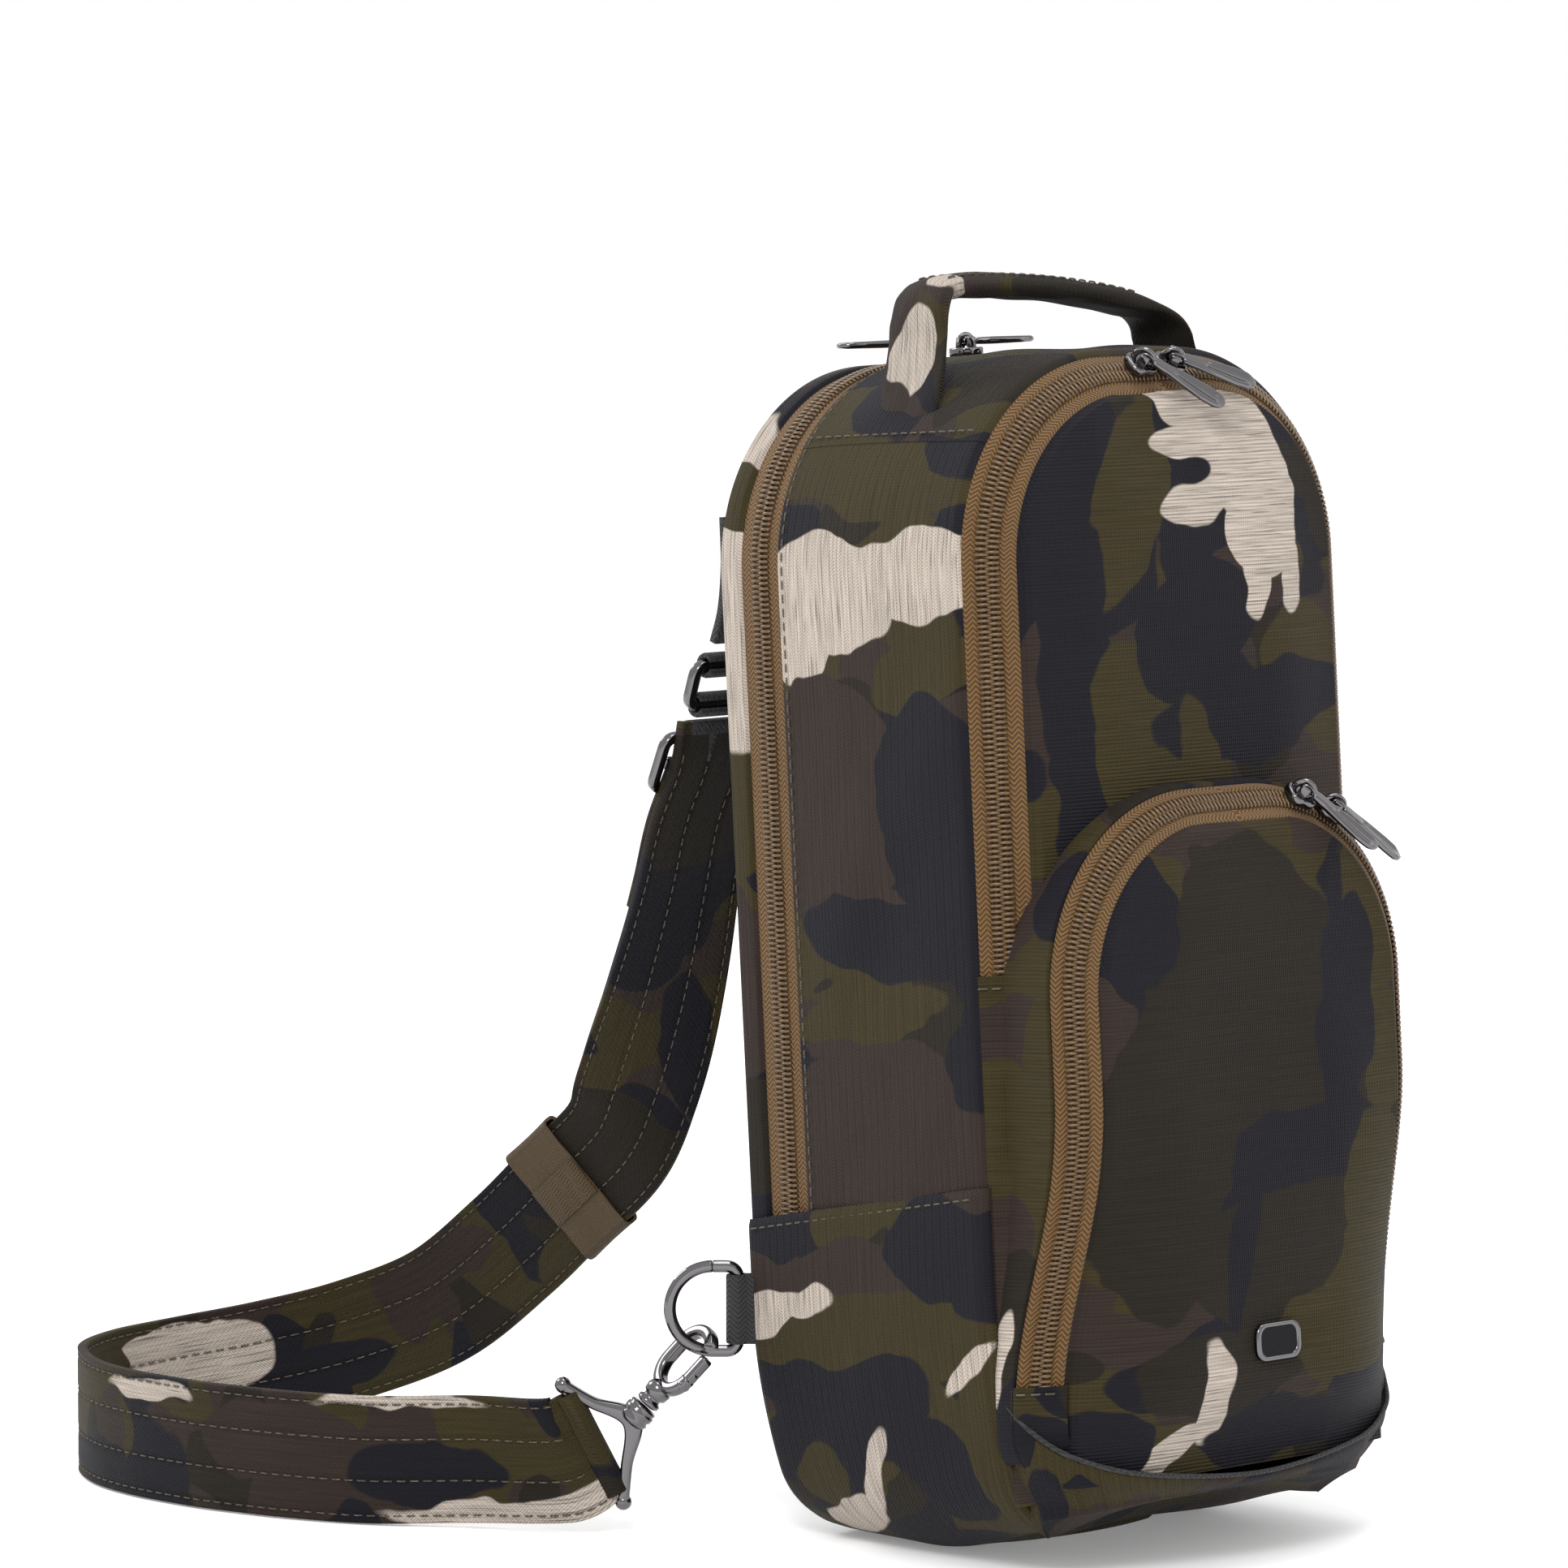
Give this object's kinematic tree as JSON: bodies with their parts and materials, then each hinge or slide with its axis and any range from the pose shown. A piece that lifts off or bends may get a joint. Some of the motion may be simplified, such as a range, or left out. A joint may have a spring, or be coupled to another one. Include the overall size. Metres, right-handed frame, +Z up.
{
  "type": "sling bag",
  "caption": "Small sling bag with an arched body, zipped front pocket, top handle and one shoulder strap clipped to its lower rear corner by a swivel hook.",
  "frame": {"origin": "centre of the flat patch under the bag, on the floor", "axes": "+Z up, -Y towards the front of the bag, +X to the right seen from the front"},
  "size_m": [0.2698, 0.3784, 0.3699],
  "materials": {
    "camo_twill": "matt camouflage twill",
    "camo_canvas": "matt camouflage canvas",
    "camo_rib": "fine ribbed camouflage fabric",
    "black_fabric": "matt woven",
    "lining": "smooth lining",
    "mesh_pad": "padded spacer mesh",
    "zip_tape": "herringbone tape",
    "zip_coil": "nylon coil",
    "black_webbing": "herringbone webbing",
    "strap_webbing": "folded camouflage strap with stitch lines",
    "elastic": "ribbed elastic",
    "gunmetal": "polished dark nickel",
    "dark_enamel": "smooth dark enamel"
  },
  "bodies": {
    "bag": {"back_panel": "mesh_pad", "badge_frame": "gunmetal", "badge_plate": "dark_enamel", "base_pad": "black_fabric", "base_panel": "black_fabric", "boot": "camo_canvas", "bottom_band": "camo_canvas", "d_ring_tab_left": "black_webbing", "d_ring_tab_right": "black_webbing", "divider_panel": "lining", "front_panel": "camo_rib", "front_strip_left": "camo_twill", "front_strip_right": "camo_twill", "front_zip_coil": "zip_coil", "front_zip_tape": "zip_tape", "handle_anchor_left": "camo_canvas", "handle_anchor_right": "camo_canvas", "pocket_gusset": "camo_canvas", "pocket_panel": "camo_rib", "pocket_zip_coil_inner": "zip_coil", "pocket_zip_coil_outer": "zip_coil", "pocket_zip_tape_inner": "zip_tape", "pocket_zip_tape_outer": "zip_tape", "rear_border": "camo_twill", "rear_zip_coil": "zip_coil", "rear_zip_tape": "zip_tape", "ring_tab": "strap_webbing", "side_panel_left": "camo_twill", "side_panel_right": "camo_twill", "strap": "strap_webbing", "top_panel": "camo_twill", "top_ring": "gunmetal", "tri_glide": "gunmetal"},
    "handle": {"handle_grip": "camo_canvas", "handle_tab_left": "camo_canvas", "handle_tab_right": "camo_canvas"},
    "hook": {"hook_body": "gunmetal", "gate_rivet": "gunmetal"},
    "gate": {"hook_gate": "gunmetal"},
    "hook_frame": {"hook_frame": "gunmetal"},
    "keeper": {"keeper": "elastic"},
    "d_ring_left": {"d_ring_left": "gunmetal"},
    "d_ring_right": {"d_ring_right": "gunmetal"},
    "rear_slider_left": {"rear_slider_left": "gunmetal"},
    "rear_slider_right": {"rear_slider_right": "gunmetal"},
    "front_slider_left": {"front_slider_left": "gunmetal"},
    "front_slider_right": {"front_slider_right": "gunmetal"},
    "pocket_slider_left": {"pocket_slider_left": "gunmetal"},
    "pocket_slider_right": {"pocket_slider_right": "gunmetal"},
    "rear_pull_left": {"rear_pull_left": "gunmetal"},
    "rear_pull_right": {"rear_pull_right": "gunmetal"},
    "front_pull_left": {"front_pull_left": "gunmetal"},
    "front_pull_right": {"front_pull_right": "gunmetal"},
    "pocket_pull_left": {"pocket_pull_left": "gunmetal"},
    "pocket_pull_right": {"pocket_pull_right": "gunmetal"}
  },
  "joints": [
    {"name": "handle_swing", "type": "hinge", "parent": "bag", "child": "handle", "pos_m": [0, -0.00069, 0.34137], "axis": [1, 0, 0], "range_deg": [-50, 50]},
    {"name": "rear_slider_left_travel", "type": "hinge", "parent": "bag", "child": "rear_slider_left", "pos_m": [-0.015, 0.00822, 0.28386], "axis": [0, 0.9974, -0.0715], "range_deg": [-85, 0]},
    {"name": "rear_slider_right_travel", "type": "hinge", "parent": "bag", "child": "rear_slider_right", "pos_m": [0.015, 0.00822, 0.28386], "axis": [0, 0.9974, -0.0715], "range_deg": [0, 85]},
    {"name": "front_slider_left_travel", "type": "hinge", "parent": "bag", "child": "front_slider_left", "pos_m": [-0.015, 0.00822, 0.28386], "axis": [0, 0.9974, -0.0715], "range_deg": [-85, 0]},
    {"name": "front_slider_right_travel", "type": "hinge", "parent": "bag", "child": "front_slider_right", "pos_m": [0.015, 0.00822, 0.28386], "axis": [0, 0.9974, -0.0715], "range_deg": [0, 85]},
    {"name": "pocket_slider_left_travel", "type": "hinge", "parent": "bag", "child": "pocket_slider_left", "pos_m": [0.012, -0.00057, 0.16117], "axis": [0, 0.9974, -0.0715], "range_deg": [-16, 0]},
    {"name": "pocket_slider_right_travel", "type": "hinge", "parent": "bag", "child": "pocket_slider_right", "pos_m": [0.012, -0.00057, 0.16117], "axis": [0, 0.9974, -0.0715], "range_deg": [0, 58]},
    {"name": "rear_pull_left_lift", "type": "hinge", "parent": "rear_slider_left", "child": "rear_pull_left", "pos_m": [-0.012, 0.04634, 0.34714], "axis": [0, 0.9974, -0.0715], "range_deg": [0, 100]},
    {"name": "rear_pull_right_lift", "type": "hinge", "parent": "rear_slider_right", "child": "rear_pull_right", "pos_m": [0.012, 0.04634, 0.34714], "axis": [0, -0.9974, 0.0715], "range_deg": [0, 100]},
    {"name": "front_pull_left_lift", "type": "hinge", "parent": "front_slider_left", "child": "front_pull_left", "pos_m": [-0.0065, -0.04861, 0.34621], "axis": [-0.8022, -0.4513, -0.3909], "range_deg": [0, 100]},
    {"name": "front_pull_right_lift", "type": "hinge", "parent": "front_slider_right", "child": "front_pull_right", "pos_m": [0.005, -0.04861, 0.34621], "axis": [-0.4945, -0.657, -0.5691], "range_deg": [0, 100]},
    {"name": "pocket_pull_left_lift", "type": "hinge", "parent": "pocket_slider_left", "child": "pocket_pull_left", "pos_m": [0.02775, -0.08057, 0.22197], "axis": [-0.8347, -0.5011, -0.2284], "range_deg": [0, 100]},
    {"name": "pocket_pull_right_lift", "type": "hinge", "parent": "pocket_slider_right", "child": "pocket_pull_right", "pos_m": [0.0397, -0.08092, 0.21703], "axis": [-0.5909, -0.7041, -0.3939], "range_deg": [0, 100]},
    {"name": "d_ring_left_swing", "type": "hinge", "parent": "bag", "child": "d_ring_left", "pos_m": [-0.07872, 0.04614, 0.06683], "axis": [0, 0, 1], "range_deg": [-3, 3]},
    {"name": "d_ring_right_swing", "type": "hinge", "parent": "bag", "child": "d_ring_right", "pos_m": [0.07872, 0.04614, 0.06683], "axis": [0, 0, 1], "range_deg": [-95, 95]},
    {"name": "hook_frame_tilt", "type": "hinge", "parent": "bag", "child": "hook_frame", "pos_m": [-0.11082, 0.07399, 0.02699], "axis": [0.3369, -0.3034, -0.8913], "range_deg": [-1, 1]},
    {"name": "hook_swivel", "type": "hinge", "parent": "hook_frame", "child": "hook", "pos_m": [-0.10071, 0.06489, 0.03649], "axis": [0.4973, -0.4477, 0.7431], "range_deg": [-8, 8]},
    {"name": "gate_open", "type": "hinge", "parent": "hook", "child": "gate", "pos_m": [-0.09542, 0.0518, 0.04525], "axis": [-0.8128, 0.0591, 0.5795], "range_deg": [0, 15], "stiffness_Nm_per_rad": 0.02, "springref_deg": -5.73},
    {"name": "keeper_slide", "type": "slide", "parent": "bag", "child": "keeper", "axis": [0.0241, 0.8036, -0.5947], "range_m": [-0.012, 0.018]}
  ]
}
